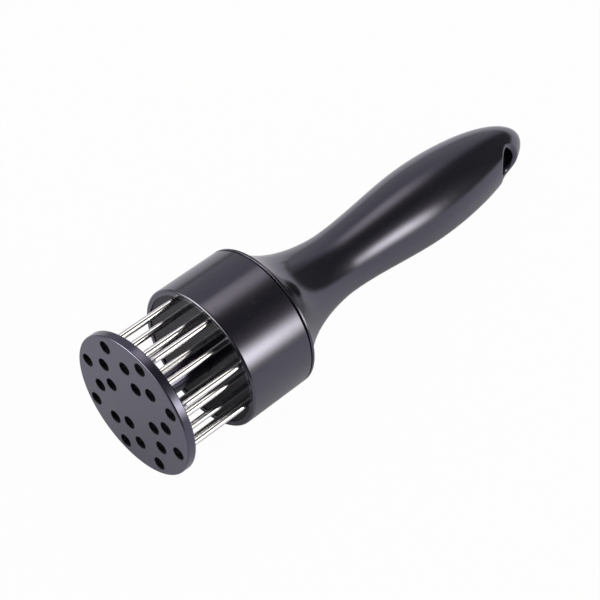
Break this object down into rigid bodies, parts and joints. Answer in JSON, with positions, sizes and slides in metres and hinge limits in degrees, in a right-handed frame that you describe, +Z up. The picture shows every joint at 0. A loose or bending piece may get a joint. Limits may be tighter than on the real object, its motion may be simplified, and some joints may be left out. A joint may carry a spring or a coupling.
{
  "type": "needle meat tenderizer",
  "caption": "Hand meat tenderizer: a round cup of steel needles on a flared handle, behind a sprung, perforated guard disc that slides back as the needles pierce.",
  "frame": {"origin": "on the surface the tool is laid on, under the middle of its bounding box; it is round and rolls there, so it is stored hanging from its hang hole", "axes": "+X along the tool towards the hang hole, +Z up; the tool lies on its flare's lip and its grip, so its own axis falls about 7.1 degrees towards the hang hole"},
  "size_m": [0.2032, 0.0566, 0.0632],
  "materials": {
    "black_plastic": "high-gloss moulded ABS",
    "plate_plastic": "gloss moulded ABS",
    "guard_plastic": "satin-gloss moulded ABS",
    "bush_plastic": "natural acetal",
    "needle_steel": "polished stainless wire",
    "screw_steel": "zinc plated",
    "spring_steel": "drawn spring wire"
  },
  "bodies": {
    "handle": {"handle": "black_plastic", "cup": "black_plastic", "pin_plate": "plate_plastic", "backing_plate": "plate_plastic", "guide_bush": "bush_plastic", "carrier_screws": "screw_steel", "return_spring": "spring_steel", "pin_01": "needle_steel", "pin_02": "needle_steel", "pin_03": "needle_steel", "pin_04": "needle_steel", "pin_05": "needle_steel", "pin_06": "needle_steel", "pin_07": "needle_steel", "pin_08": "needle_steel", "pin_09": "needle_steel", "pin_10": "needle_steel", "pin_11": "needle_steel", "pin_12": "needle_steel", "pin_13": "needle_steel", "pin_14": "needle_steel", "pin_15": "needle_steel", "pin_16": "needle_steel", "pin_17": "needle_steel", "pin_18": "needle_steel", "pin_19": "needle_steel", "pin_20": "needle_steel"},
    "guard": {"guard": "guard_plastic", "guard_post": "guard_plastic", "stop_flange": "bush_plastic", "stop_screw": "screw_steel"}
  },
  "joints": [
    {"name": "guard_slide", "type": "slide", "parent": "handle", "child": "guard", "axis": [0.9924, 0, -0.1232], "range_m": [0, 0.0271], "stiffness_N_per_m": 330, "springref_m": -0.012, "deforming": ["return_spring"]}
  ]
}
